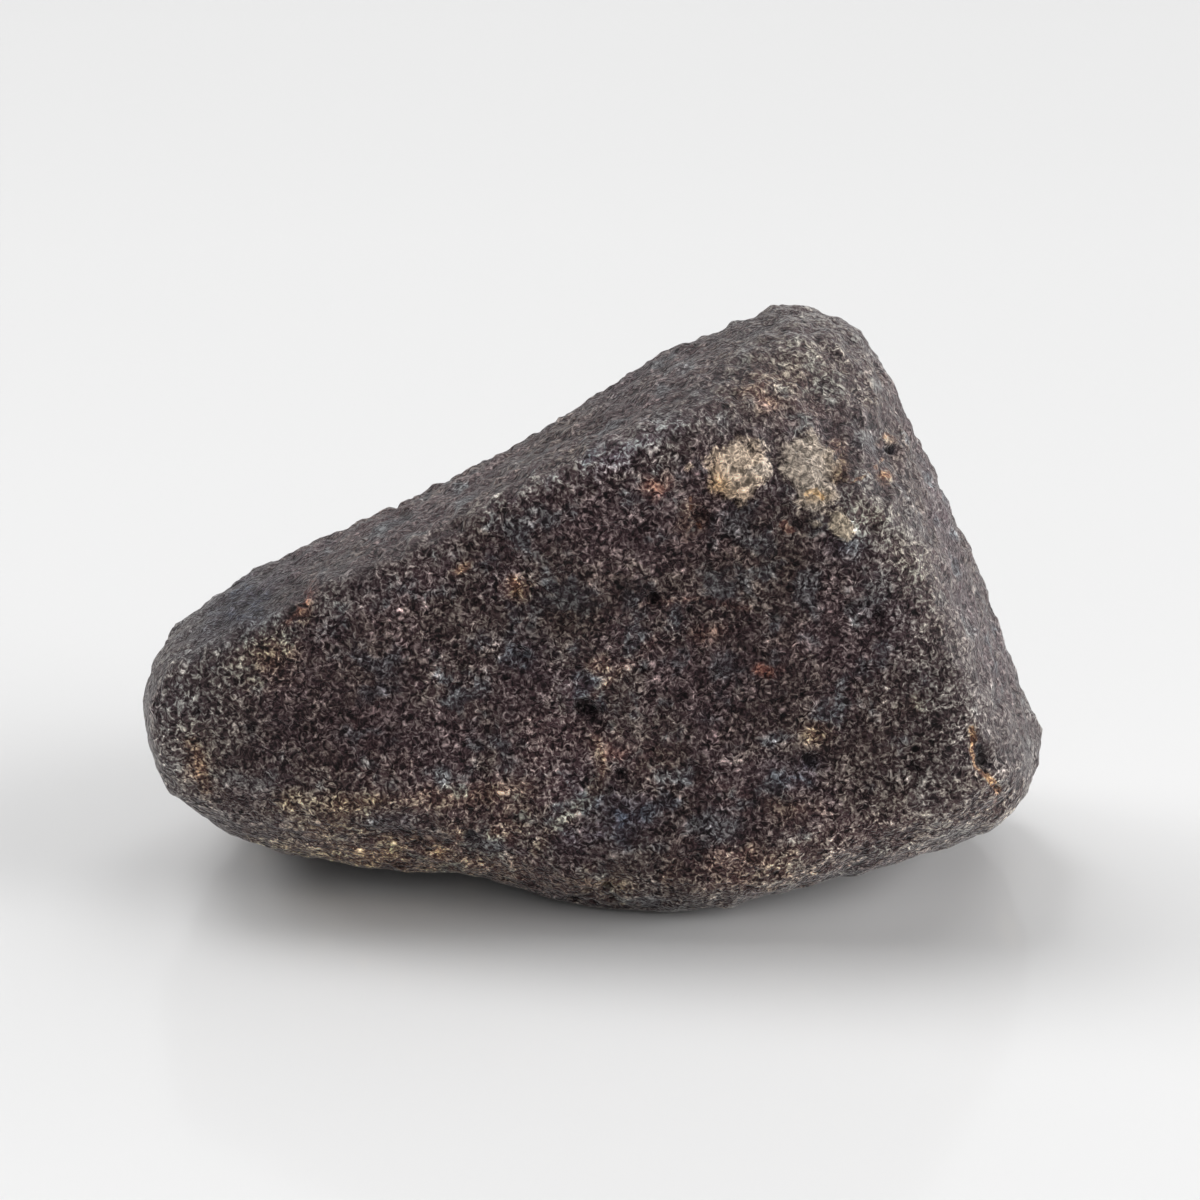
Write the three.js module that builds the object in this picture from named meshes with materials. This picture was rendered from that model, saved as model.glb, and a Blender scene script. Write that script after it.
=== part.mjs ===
// A stony meteorite, a weathered chondrite found as one loose stone: a blunt wedge with a low nose at
// -X, a high brow near +X and a small flat spot that it rests on. Millimetres, +Z up, origin at the
// middle of its box on the resting plane.
import * as THREE from "three";
import { ImprovedNoise } from "three/addons/math/ImprovedNoise.js";
import { mergeVertices } from "three/addons/utils/BufferGeometryUtils.js";

// A point well inside the stone, how far from it the skin is looked for, and how far the broken faces
// have been worn round where they meet.
const HEART = new THREE.Vector3(0, 0, 10);
const REACH = 30;
const EDGE_WEAR = 0.45;

// The broken faces. Each is a plane that the stone stays behind: the way it faces, as degrees round
// from +X (azimuth, -90 is the front) and up from level (elevation), and a place that it passes through.
const FACES = [
  { name: "front", azimuth: -93, elevation: 7, through: [3.5, -5.7, 20.2] },
  { name: "long slope", azimuth: 175, elevation: 62, through: [-5.2, 0, 16.45] },
  { name: "brow", azimuth: -66, elevation: 45, through: [7.6, -1.0, 23.15] },
  { name: "crown", azimuth: 20, elevation: 71, through: [7.6, 0.5, 22.85] },
  { name: "right shoulder", azimuth: -12, elevation: 29, through: [11.95, 1, 19.1] },
  { name: "right end", azimuth: -9, elevation: 21.5, through: [18.1, 1, 5.5] },
  { name: "right bevel", azimuth: -45, elevation: 19, through: [12.8, -7.1, 13.2] },
  { name: "nose side", azimuth: -162, elevation: 6, through: [-17.4, -4.6, 9] },
  { name: "nose crest", azimuth: 178, elevation: 30, through: [-17.3, 1, 10.1] },
  { name: "under the nose", azimuth: -172, elevation: -37, through: [-16.8, 1, 3.6] },
  { name: "chin", azimuth: -103, elevation: -34, through: [-8, -7.5, 5.05] },
  { name: "foot", azimuth: -72, elevation: -38, through: [11, -6.5, 2.6] },
  { name: "heel", azimuth: -20, elevation: -40, through: [17.5, -2, 3.9] },
  { name: "rise to the nose", azimuth: 180, elevation: -83, through: [-3.4, 0, 0] },
  { name: "rise to the heel", azimuth: -30, elevation: -78, through: [6.4, -2, 0] },
  { name: "back slope", azimuth: 118, elevation: 38, through: [2, 2.4, 21.2] },
  { name: "back", azimuth: 80, elevation: 6, through: [2, 9.2, 8] },
  { name: "back left", azimuth: 132, elevation: 12, through: [-12, 6, 8] },
  { name: "back right", azimuth: 36, elevation: 14, through: [14, 4, 10] },
  { name: "back sole", azimuth: 84, elevation: -52, through: [2, 7.6, 1.6] },
];

// Broad hollows (positive depth) and swellings (negative depth), each a soft round dip about a place.
const HOLLOWS = [
  { name: "dip of the long slope", at: [-5, 1, 16], width: 5, depth: 0.35 },
  { name: "swelling below the brow", at: [0.5, 1, 19.5], width: 3, depth: -0.1 },
  { name: "nose bump", at: [-13, -1, 13.5], width: 3, depth: -0.15 },
  { name: "swelling of the right end", at: [14, -1, 15], width: 4, depth: -0.1 },
  { name: "hollow under the chin", at: [-5, -5, 1], width: 4, depth: 0.5 },
  { name: "swelling of the foot", at: [2, -6, 1], width: 3, depth: -0.1 },
  { name: "ledge over the front", at: [-2.5, -6.2, 16.8], width: 2.2, depth: -0.3 },
  { name: "ledge by the brow", at: [2, -6.4, 19], width: 2, depth: -0.3 },
  { name: "cheek, upper", at: [3.4, -8, 15], width: 3.4, depth: 0.35 },
  { name: "cheek, lower", at: [8.5, -8.4, 9], width: 3, depth: 0.3 },
  { name: "front lump", at: [-0.5, -8, 12], width: 2.6, depth: -0.35 },
  { name: "low lump", at: [5, -8.8, 5], width: 2.6, depth: -0.35 },
  { name: "smooth dish", at: [-10, -7.8, 9.8], width: 3, depth: 0.35 },
  { name: "chin roll", at: [-7, -7.8, 5.2], width: 2.4, depth: -0.25 },
  { name: "nose dent", at: [-15.4, -7, 6.6], width: 1.3, depth: 0.35 },
  { name: "middle pit", at: [0, -8.1, 9.5], width: 1, depth: 0.7 },
  { name: "pit under the pale grain", at: [5.6, -7.6, 17.7], width: 0.9, depth: 0.5 },
  { name: "brow pit", at: [11.3, -3.7, 18.5], width: 0.9, depth: 0.6 },
  { name: "heel crack, upper", at: [15, -8, 8.2], width: 0.9, depth: 0.5 },
  { name: "heel crack, lower", at: [16, -7.2, 5.6], width: 0.9, depth: 0.4 },
  { name: "foot pit", at: [0.7, -8.2, 2], width: 0.7, depth: 0.4 },
  { name: "back dish", at: [4, 8.8, 11], width: 5, depth: 0.9 },
  { name: "back shelf", at: [-7, 7, 8], width: 4, depth: -0.5 },
  { name: "back pit", at: [9, 7.4, 6], width: 1.3, depth: 0.6 },
  { name: "crest dent", at: [5, 5.6, 18.6], width: 2.4, depth: 0.5 },
];

// Low waves all over the skin: their length and their height.
const WAVES = [
  { length: 7, height: 0.3 },
  { length: 2.6, height: 0.12 },
];

// The mesh: how finely the ball that it starts from is divided, and how often its corners are evened out.
const BALL_DETAIL = 19;
const EVENING_PASSES = 40;

const noise = new ImprovedNoise();

function facing({ azimuth, elevation }) {
  const a = THREE.MathUtils.degToRad(azimuth);
  const e = THREE.MathUtils.degToRad(elevation);
  return new THREE.Vector3(Math.cos(a) * Math.cos(e), Math.sin(a) * Math.cos(e), Math.sin(e));
}

const planes = FACES.map((face) =>
  new THREE.Plane().setFromNormalAndCoplanarPoint(facing(face), new THREE.Vector3(...face.through)),
);
const dips = HOLLOWS.map(({ at, width, depth }) => ({ middle: new THREE.Vector3(...at), width, depth }));

// How far a point lies outside the stone, and zero on its skin: a soft maximum over the faces, so that
// they meet in worn edges, with the hollows and the waves added.
function outside(point) {
  let sum = 0;
  for (const plane of planes) {
    sum += Math.exp(plane.distanceToPoint(point) / EDGE_WEAR);
  }
  let level = EDGE_WEAR * Math.log(sum);
  for (const { middle, width, depth } of dips) {
    level += depth * Math.exp(-point.distanceToSquared(middle) / (width * width));
  }
  for (const { length, height } of WAVES) {
    level += height * noise.noise(point.x / length, point.y / length, point.z / length);
  }
  return level;
}

// The skin along one direction from the heart, found by halving, and pressed flat where it would reach
// below the resting plane.
const HALVINGS = 22;
function skinPoint(direction) {
  let near = 0;
  let far = REACH;
  for (let i = 0; i < HALVINGS; i++) {
    const middle = (near + far) / 2;
    if (outside(direction.clone().multiplyScalar(middle).add(HEART)) < 0) {
      near = middle;
    } else {
      far = middle;
    }
  }
  const point = direction.clone().multiplyScalar((near + far) / 2).add(HEART);
  if (point.z < 0) {
    point.lerpVectors(HEART, point, HEART.z / (HEART.z - point.z)).setZ(0);
  }
  return point;
}

// A ball of even triangles, with its shared corners merged.
function ballMesh() {
  const ball = new THREE.IcosahedronGeometry(1, BALL_DETAIL);
  ball.deleteAttribute("normal");
  ball.deleteAttribute("uv");
  return mergeVertices(ball);
}

// For each corner of a mesh, the corners that an edge joins it to.
function neighboursOf(geometry) {
  const sets = Array.from({ length: geometry.getAttribute("position").count }, () => new Set());
  const index = geometry.index.array;
  for (let i = 0; i < index.length; i += 3) {
    for (let side = 0; side < 3; side++) {
      const a = index[i + side];
      const b = index[i + ((side + 1) % 3)];
      sets[a].add(b);
      sets[b].add(a);
    }
  }
  return sets.map((set) => [...set]);
}

// The stone's skin: the ball's corners sent out to the skin, then each moved towards the middle of its
// neighbours and sent out again, which spreads the triangles evenly over the long shape.
function stoneGeometry() {
  const geometry = ballMesh();
  const position = geometry.getAttribute("position");
  const neighbours = neighboursOf(geometry);
  let corners = neighbours.map((_, i) => skinPoint(new THREE.Vector3().fromBufferAttribute(position, i)));
  for (let pass = 0; pass < EVENING_PASSES; pass++) {
    corners = neighbours.map((around) => {
      const middle = new THREE.Vector3();
      around.forEach((other) => middle.add(corners[other]));
      return skinPoint(middle.divideScalar(around.length).sub(HEART).normalize());
    });
  }
  corners.forEach((corner, i) => position.setXYZ(i, corner.x, corner.y, corner.z));
  geometry.computeBoundingBox();
  const middle = geometry.boundingBox.getCenter(new THREE.Vector3());
  geometry.translate(-middle.x, -middle.y, 0);
  geometry.computeVertexNormals();
  return geometry;
}

const crust = new THREE.MeshStandardMaterial({ color: 0x3b3434, roughness: 0.55, metalness: 0.05 });

const stone = new THREE.Mesh(stoneGeometry(), crust);
stone.name = "meteorite";

const meteorite = new THREE.Group();
meteorite.add(stone);

export default meteorite;
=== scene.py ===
# A weathered chondrite, one loose stone. The imported solid gives its faces and broad forms. This script
# divides that solid finely, works the small relief into the mesh, marks its clasts, stains, veins and
# pits, paints sheen, bounce light and shade into its colour in places, and dresses it as dark, fine-grained
# stone on a plain pale floor.

import logging
import math
from dataclasses import dataclass
from enum import Enum
from typing import Sequence

import bmesh
import bpy
import numpy as np
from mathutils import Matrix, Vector, kdtree, noise
from mathutils.bvhtree import BVHTree


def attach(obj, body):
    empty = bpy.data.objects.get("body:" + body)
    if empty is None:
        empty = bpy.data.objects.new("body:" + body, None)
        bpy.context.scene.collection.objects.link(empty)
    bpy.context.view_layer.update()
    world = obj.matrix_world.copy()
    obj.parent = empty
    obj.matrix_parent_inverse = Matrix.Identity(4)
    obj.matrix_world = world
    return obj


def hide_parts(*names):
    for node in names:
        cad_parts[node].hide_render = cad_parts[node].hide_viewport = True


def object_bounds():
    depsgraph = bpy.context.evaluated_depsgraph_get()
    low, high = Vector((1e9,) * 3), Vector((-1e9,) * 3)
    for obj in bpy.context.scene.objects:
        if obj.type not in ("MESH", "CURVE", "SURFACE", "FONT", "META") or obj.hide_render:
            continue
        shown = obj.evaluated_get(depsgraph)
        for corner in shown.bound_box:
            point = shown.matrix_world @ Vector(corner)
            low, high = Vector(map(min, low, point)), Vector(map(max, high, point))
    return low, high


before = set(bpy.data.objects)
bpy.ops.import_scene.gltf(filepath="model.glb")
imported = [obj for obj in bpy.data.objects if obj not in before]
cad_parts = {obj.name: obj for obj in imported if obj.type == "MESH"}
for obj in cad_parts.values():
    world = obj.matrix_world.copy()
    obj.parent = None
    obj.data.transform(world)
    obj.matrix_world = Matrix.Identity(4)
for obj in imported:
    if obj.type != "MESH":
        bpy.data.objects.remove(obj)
CAD_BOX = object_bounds()

NODE = "meteorite"
BODY = "root"
MM = 0.001
SEED = 11
OUT_OF_REACH = 99.0

log = logging.getLogger("chondrite")

Pixel = tuple[float, float]
Colour = tuple[float, float, float]
Span = tuple[float, float]
Socket = bpy.types.NodeSocket


# The photograph's camera, and how its pixels are used to place marks.


@dataclass(frozen=True)
class Viewpoint:
    """A camera that looks level or down at a target, with a picture whose pixels place marks."""

    azimuth_deg: float = 0.0
    pitch_deg: float = 22.0
    focal_px: float = 3151.0
    px_per_mm: float = 25.0
    target_mm: tuple[float, float, float] = (0.25, -1.5, 11.05)
    picture_px: int = 1200
    sensor_mm: float = 36.0
    clip_start_mm: float = 5.0

    def forward(self) -> Vector:
        """Finds where the camera looks.

        Returns:
            The direction, one unit long.
        """
        pitch, turn = math.radians(self.pitch_deg), math.radians(self.azimuth_deg)
        level = Vector((-math.sin(turn), math.cos(turn), 0))
        return level * math.cos(pitch) - Vector((0, 0, math.sin(pitch)))

    def right(self) -> Vector:
        """Returns the direction across the picture."""
        turn = math.radians(self.azimuth_deg)
        return Vector((math.cos(turn), math.sin(turn), 0))

    def up(self) -> Vector:
        """Returns the direction up the picture."""
        return self.right().cross(self.forward())

    def eye(self) -> Vector:
        """Returns the camera's place in metres, where the target is drawn at the wanted scale."""
        return (Vector(self.target_mm) - self.forward() * (self.focal_px / self.px_per_mm)) * MM

    def ray(self, pixel: Pixel) -> Vector:
        """Returns the direction from the eye through one pixel.

        Args:
            pixel: across and down from the picture's top left corner.
        """
        half = self.picture_px / 2
        across, down = pixel[0] - half, pixel[1] - half
        return (self.forward() * self.focal_px + self.right() * across - self.up() * down).normalized()

    def project(self, points: np.ndarray) -> np.ndarray:
        """Draws points on the picture.

        Args:
            points: one row of X, Y and Z in metres for each point.

        Returns:
            One row for each point: pixels across and pixels down.
        """
        away = points - np.array(self.eye())
        depth = away @ np.array(self.forward())
        half = self.picture_px / 2
        across = half + self.focal_px * (away @ np.array(self.right())) / depth
        down = half - self.focal_px * (away @ np.array(self.up())) / depth
        return np.stack([across, down], axis=1)

    def build(self) -> bpy.types.Object:
        """Makes the scene's camera at this viewpoint.

        Returns:
            The camera object.
        """
        data = bpy.data.cameras.new("camera")
        data.sensor_width = self.sensor_mm
        data.lens = self.sensor_mm * self.focal_px / self.picture_px
        data.clip_start = self.clip_start_mm * MM
        camera = bpy.data.objects.new("camera", data)
        camera.location = self.eye()
        camera.rotation_euler = self.forward().to_track_quat("-Z", "Y").to_euler()
        bpy.context.scene.collection.objects.link(camera)
        bpy.context.scene.camera = camera
        return camera


# What is marked on the stone.


class StainAndLight(Enum):
    """The finishes that a mark can have: how much of the bare stone's red, green and blue each leaves. Marks
    use them for stains and also for painted sheen, bounce light and shade.
    """

    OCHRE = (2.3, 1.95, 1.40)
    STRAW = (1.60, 1.55, 1.28)
    TAN = (1.35, 1.30, 1.20)
    RUST = (1.80, 1.30, 1.10)
    EMBER = (2.50, 1.65, 1.25)
    ROSE = (2.30, 1.75, 1.45)
    ASH = (1.25, 1.32, 1.36)
    PLUM = (0.66, 0.59, 0.61)
    UMBER = (0.72, 0.67, 0.62)
    SLATE = (0.66, 0.74, 0.90)
    INK = (0.42, 0.40, 0.50)
    AMBER = (1.90, 1.38, 0.90)


class Grain(Enum):
    """The finishes of the pale clasts, as linear light."""

    CREAM = (0.60, 0.470, 0.360)
    SAGE = (0.47, 0.390, 0.320)
    IVORY = (0.40, 0.330, 0.250)


@dataclass(frozen=True)
class Patch:
    """A soft round mark, placed and sized in the pixels of a picture."""

    stain: StainAndLight
    at: Pixel
    size: Pixel
    turn_deg: float = 0.0
    strength: float = 1.0


@dataclass(frozen=True)
class Vein:
    """A thin line of a mark's finish along a few pixels of a picture, carved in where depth is given."""

    stain: StainAndLight
    path: tuple[Pixel, ...]
    width: float
    strength: float = 1.0
    depth_mm: float = 0.0


@dataclass(frozen=True)
class Thread:
    """A mark too fine for the mesh, drawn by the finish along a few pixels of a picture."""

    stain: StainAndLight
    path: tuple[Pixel, ...]
    width: float
    strength: float = 1.0


@dataclass(frozen=True)
class Stroke:
    """A fine mark on the stone: the points that it follows and its half width, in millimetres."""

    stain: StainAndLight
    points: tuple[Vector, ...]
    radius: float
    strength: float


@dataclass(frozen=True)
class Clast:
    """A pale grain set in the stone, which stands a little proud with a fine groove round it."""

    grain: Grain
    at: Pixel
    size: Pixel
    turn_deg: float = 0.0
    lift_mm: float = 0.1
    groove_mm: float = 0.12


@dataclass(frozen=True)
class Pit:
    """A small hole, whose floor is painted dark as shade."""

    at: Pixel
    size: Pixel
    turn_deg: float = 0.0
    depth_mm: float = 0.3
    floor: StainAndLight = StainAndLight.INK


# The soft marks of the front, by finish: the middle, the size, the turn and the strength of each. Most are
# stains; some paint sheen, bounce light and shade, as noted at their finish.
FRONT_STAINS_AND_LIGHT = {
    StainAndLight.OCHRE: (
        ((515, 585), (22, 28), 10, 0.6), ((462, 568), (24, 14), 35, 0.7), ((600, 665), (26, 20), 0, 0.6),
        ((886, 441), (22, 9), 20, 1.0), ((886, 478), (18, 13), 0, 1.0),
    ),
    # Many straw marks low on the front and under the chin are partly stains and partly painted light bounced
    # from the floor.
    StainAndLight.STRAW: (
        ((340, 855), (200, 50), -4, 1.4), ((480, 868), (200, 44), -8, 1.4), ((325, 822), (70, 44), -10, 0.7),
        ((520, 820), (40, 36), 0, 0.5), ((285, 800), (50, 24), 30, 0.6), ((605, 884), (26, 10), 0, 0.9),
        ((815, 735), (28, 18), 0, 1.0), ((370, 800), (34, 20), 0, 0.6), ((915, 705), (28, 24), 0, 0.9),
        ((800, 385), (150, 90), 0, 0.5), ((517, 587), (26, 30), 0, 0.7), ((692, 510), (26, 44), 0, 1.4),
        ((302, 612), (22, 24), 0, 1.6), ((815, 739), (40, 30), 0, 1.0), ((198, 758), (40, 84), 18, 0.7),
        ((266, 646), (70, 44), 30, 1.2), ((866, 518), (44, 50), 20, 0.8), ((922, 580), (44, 150), 24, 0.5),
        ((330, 858), (180, 26), -4, 0.6), ((608, 886), (66, 40), 0, 0.8), ((792, 808), (62, 42), 0, 0.7),
        ((275, 667), (48, 48), 0, 0.6),
    ),
    # Many tan marks low on the front are partly stains and partly painted light bounced from the floor.
    StainAndLight.TAN: (
        ((430, 815), (300, 60), 0, 0.7), ((860, 850), (280, 60), 14, 1.0), ((470, 845), (260, 36), 6, 0.7),
        ((565, 735), (100, 66), 20, 1.2), ((358, 775), (110, 60), 0, 0.9), ((735, 866), (130, 44), 0, 1.0),
        ((267, 660), (70, 50), 0, 0.7), ((810, 836), (220, 56), 14, 0.7), ((530, 488), (190, 44), 27, 0.5),
        ((500, 800), (140, 80), 0, 0.7), ((736, 868), (124, 66), 6, 1.2), ((652, 760), (76, 50), 0, 1.0),
        ((995, 806), (70, 60), 0, 1.0),
    ),
    StainAndLight.RUST: (
        ((710, 632), (46, 18), 10, 0.8), ((620, 756), (24, 16), 0, 0.9), ((308, 600), (14, 44), -20, 0.7),
    ),
    StainAndLight.EMBER: (
        ((764, 671), (24, 16), 0, 0.5),
    ),
    StainAndLight.ROSE: (
        ((655, 487), (44, 26), 20, 0.8), ((765, 402), (26, 20), 0, 0.3), ((762, 392), (46, 40), 0, 0.35),
    ),
    # The long ash marks along the top ridge (turned 27 or 28) and down the right rim (turned 24) are painted
    # sheen; the ash marks low on the front and under the chin are partly painted bounce light.
    StainAndLight.ASH: (
        ((540, 486), (190, 30), 27, 1.0), ((622, 456), (150, 36), 28, 1.1), ((980, 610), (44, 220), 24, 0.8),
        ((500, 583), (80, 50), 0, 0.6), ((333, 617), (60, 44), 0, 0.5), ((908, 600), (50, 60), 0, 0.5),
        ((520, 490), (110, 26), 27, 1.0), ((598, 464), (100, 30), 27, 1.5), ((655, 436), (110, 22), 27, 2.0),
        ((264, 643), (60, 44), 30, 1.8), ((866, 518), (44, 50), 20, 1.5), ((517, 587), (34, 36), 0, 1.3),
        ((458, 570), (38, 26), 30, 1.6), ((190, 700), (60, 90), 10, 1.0), ((350, 855), (240, 34), -2, 1.0),
        ((490, 800), (160, 90), 0, 0.35), ((170, 715), (40, 60), 10, 1.0), ((820, 836), (220, 50), 14, 0.8),
        ((925, 585), (40, 130), 24, 0.7), ((580, 700), (66, 92), -15, 1.7), ((912, 706), (46, 62), 0, 1.7),
        ((522, 850), (94, 56), 10, 1.2), ((768, 488), (30, 34), 0, 1.2), ((612, 392), (80, 36), 27, 1.8),
        ((940, 507), (34, 66), 24, 1.2), ((886, 624), (48, 80), 10, 1.0), ((563, 776), (70, 84), -10, 1.1),
        ((835, 732), (42, 42), 0, 1.1),
    ),
    StainAndLight.PLUM: (
        ((330, 700), (160, 150), 0, 0.75), ((590, 540), (140, 60), -25, 0.8),
        ((740, 690), (140, 110), 0, 0.75), ((720, 830), (150, 90), -10, 0.65), ((880, 600), (70, 90), 0, 0.5),
        ((708, 600), (120, 70), 0, 0.5), ((560, 880), (160, 26), 0, 0.6), ((700, 535), (130, 60), 0, 0.7),
        ((950, 630), (34, 130), 24, 0.7), ((912, 528), (40, 44), 24, 0.6), ((1000, 745), (60, 70), 20, 0.5),
        ((767, 652), (84, 60), 0, 0.6), ((688, 472), (44, 52), 0, 0.6), ((366, 574), (76, 52), 0, 0.8),
        ((150, 706), (34, 80), 0, 0.8), ((232, 783), (56, 44), 0, 0.5), ((808, 755), (40, 24), 0, 0.6),
        ((860, 740), (70, 24), 10, 0.8), ((655, 600), (30, 40), 0, 0.8), ((650, 405), (130, 28), 27, 0.7),
        ((352, 566), (110, 30), 27, 0.5), ((256, 603), (50, 36), 35, 0.5), ((318, 576), (24, 22), 0, 0.6),
        ((715, 430), (60, 30), 10, 0.5), ((1000, 735), (50, 90), 20, 0.5), ((702, 471), (66, 60), 0, 1.0),
        ((600, 576), (62, 48), 0, 1.0), ((791, 640), (62, 92), 0, 0.9), ((717, 737), (58, 42), 0, 0.9),
        ((376, 695), (66, 112), 0, 0.8), ((392, 628), (84, 80), 20, 0.7), ((832, 590), (92, 80), 0, 0.6),
        ((735, 508), (104, 60), 0, 0.6), ((685, 660), (104, 52), 0, 0.7), ((240, 805), (62, 60), 0, 0.7),
        ((285, 588), (62, 42), 20, 0.6), ((468, 724), (60, 66), 0, 0.7), ((151, 697), (26, 52), 0, 0.6),
    ),
    StainAndLight.UMBER: (
        ((720, 560), (160, 90), 10, 0.75), ((560, 600), (90, 60), 0, 0.4), ((583, 617), (84, 64), 0, 0.8),
        ((783, 558), (90, 56), 0, 0.6),
    ),
    StainAndLight.SLATE: (
        ((240, 606), (140, 74), 35, 1.2), ((345, 570), (90, 36), -25, 0.3), ((520, 650), (70, 50), 0, 0.5),
        ((618, 818), (84, 66), 0, 1.2), ((800, 770), (64, 46), 20, 0.95), ((560, 840), (60, 40), 0, 0.5),
        ((390, 820), (70, 34), 0, 0.85), ((850, 545), (50, 40), 0, 0.6),
    ),
    # The ink mark just under the first clast is a painted shadow.
    StainAndLight.INK: (
        ((835, 548), (34, 26), 20, 0.8), ((735, 503), (40, 14), 0, 0.7), ((250, 603), (80, 40), 35, 0.8),
    ),
}
FRONT_PATCHES = tuple(Patch(stain, *mark) for stain, marks in FRONT_STAINS_AND_LIGHT.items() for mark in marks)
FRONT_VEINS = (
    Vein(StainAndLight.TAN, ((590, 700), (622, 668), (655, 640)), 12, 1.3),
    Vein(StainAndLight.STRAW, ((596, 740), (604, 772), (588, 800), (556, 826), (536, 850)), 14, 1.0),
    Vein(StainAndLight.STRAW, ((290, 800), (380, 806), (450, 798), (530, 788)), 20, 0.8),
    Vein(StainAndLight.RUST, ((288, 622), (305, 600), (316, 574)), 6, 0.9),
    Vein(StainAndLight.STRAW, ((971, 728), (973, 752), (982, 772), (998, 790)), 8, 0.8, 0.10),
    Vein(StainAndLight.ROSE, ((640, 604), (700, 598), (748, 610)), 5, 0.5),
    Vein(StainAndLight.TAN, ((700, 780), (760, 800), (830, 812)), 8, 0.8),
)
FRONT_THREADS = (
    Thread(StainAndLight.OCHRE, ((838, 477), (850, 482), (861, 478), (873, 470), (883, 458)), 4.0, 1.0),
    Thread(StainAndLight.AMBER, ((971, 728), (974, 740), (972, 752), (977, 765), (985, 775), (992, 782), (999, 791)),
           7.0, 0.9),
    Thread(StainAndLight.ROSE, ((995, 794), (996, 808)), 5.0, 0.6),
    Thread(StainAndLight.AMBER, ((883, 435), (894, 437)), 5.0, 0.7),
    Thread(StainAndLight.AMBER, ((882, 474), (889, 475)), 10.0, 0.7),
    Thread(StainAndLight.EMBER, ((760, 670), (768, 673)), 13.0, 0.45),
    Thread(StainAndLight.ROSE, ((651, 486), (660, 490)), 12.0, 0.4),
    Thread(StainAndLight.OCHRE, ((513, 578), (517, 592)), 9.0, 0.3),
    Thread(StainAndLight.OCHRE, ((458, 571), (466, 566)), 8.0, 0.4),
    Thread(StainAndLight.OCHRE, ((690, 498), (692, 510), (700, 528)), 4.0, 0.9),
    Thread(StainAndLight.ROSE, ((783, 524), (790, 530)), 8.0, 0.8),
    Thread(StainAndLight.OCHRE, ((805, 494), (812, 490), (822, 497)), 6.0, 0.8),
    Thread(StainAndLight.TAN, ((598, 740), (604, 760), (601, 782)), 5.0, 1.0),
    Thread(StainAndLight.TAN, ((590, 700), (606, 684), (622, 668)), 5.0, 1.0),
    # These ink threads darken the crack and the pits at the right: painted shade.
    Thread(StainAndLight.INK, ((979, 749), (984, 758), (988, 768)), 10.0, 1.0),
    Thread(StainAndLight.INK, ((996, 787), (997, 789)), 7.0, 1.0),
    Thread(StainAndLight.INK, ((973, 711), (974, 720)), 4.0, 0.9),
    Thread(StainAndLight.INK, ((884, 450), (893, 451)), 8.0, 1.0),
    Thread(StainAndLight.AMBER, ((191, 744), (198, 762), (206, 788)), 15.0, 0.3),
    Thread(StainAndLight.INK, ((190, 752), (196, 770), (204, 786)), 4.0, 0.7),
)
FRONT_CLASTS = (
    Clast(Grain.CREAM, (740, 471), (60, 56), 10, 0.14, 0.12),
    Clast(Grain.SAGE, (808, 463), (54, 56), -12, 0.10, 0.10),
    Clast(Grain.SAGE, (816, 491), (42, 36), -12, 0.08, 0.08),
    Clast(Grain.IVORY, (843, 526), (17, 34), 20, 0.06, 0.08),
)
# The two umber rims at the first clast's left and lower edges are painted shade.
FRONT_RIMS = (
    Patch(StainAndLight.OCHRE, (720, 486), (28, 28), 30, 0.8),
    Patch(StainAndLight.UMBER, (716, 470), (16, 40), 0, 1.0),
    Patch(StainAndLight.UMBER, (740, 496), (50, 14), 0, 0.7),
    Patch(StainAndLight.OCHRE, (838, 446), (20, 30), 30, 0.8),
    Patch(StainAndLight.UMBER, (842, 462), (18, 30), -15, 1.0),
    Patch(StainAndLight.OCHRE, (818, 497), (30, 12), 10, 0.8),
    Patch(StainAndLight.OCHRE, (842, 474), (18, 18), 0, 0.9),
    Patch(StainAndLight.ROSE, (193, 768), (16, 44), -22, 0.3),
)
FRONT_PITS = (
    Pit((587, 710), (34, 22), -20, 0.3),
    Pit((889, 450), (14, 10), 0, 0.35),
    Pit((984, 759), (12, 24), 20, 0.45),
    Pit((997, 788), (9, 9), 0, 0.3),
    Pit((606, 888), (14, 9), 0, 0.25, StainAndLight.UMBER),
    Pit((737, 502), (12, 9), 0, 0.25),
    Pit((197, 712), (10, 10), 0, 0.2),
    Pit((250, 730), (12, 14), 0, 0.2),
    Pit((405, 515), (14, 9), 0, 0.12, StainAndLight.PLUM),
    Pit((655, 598), (16, 12), 40, 0.2),
    Pit((690, 610), (12, 10), 0, 0.15),
    Pit((812, 762), (18, 14), 10, 0.2),
    Pit((470, 835), (12, 10), 0, 0.18),
    Pit((880, 615), (10, 16), 20, 0.18),
    Pit((915, 770), (12, 12), 0, 0.15),
    Pit((620, 772), (18, 12), 0, 0.18),
)
# The stains that are scattered over the faces out of sight, and those of them that are wide.
SCATTERED_STAINS = (
    StainAndLight.RUST, StainAndLight.OCHRE, StainAndLight.OCHRE, StainAndLight.STRAW, StainAndLight.ROSE, StainAndLight.SLATE, StainAndLight.PLUM, StainAndLight.PLUM,
    StainAndLight.ASH, StainAndLight.INK, StainAndLight.UMBER, StainAndLight.TAN,
)
WIDE_STAINS = (StainAndLight.SLATE, StainAndLight.PLUM, StainAndLight.ASH, StainAndLight.UMBER, StainAndLight.TAN)


# Shader maths and nodes.


@dataclass(frozen=True)
class Layer:
    """One noise of a finish: its waves in a millimetre, its finer layers, their strength and its twist."""

    scale: float
    detail: float = 2.0
    rough: float = 0.5
    twist: float = 0.0


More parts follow.
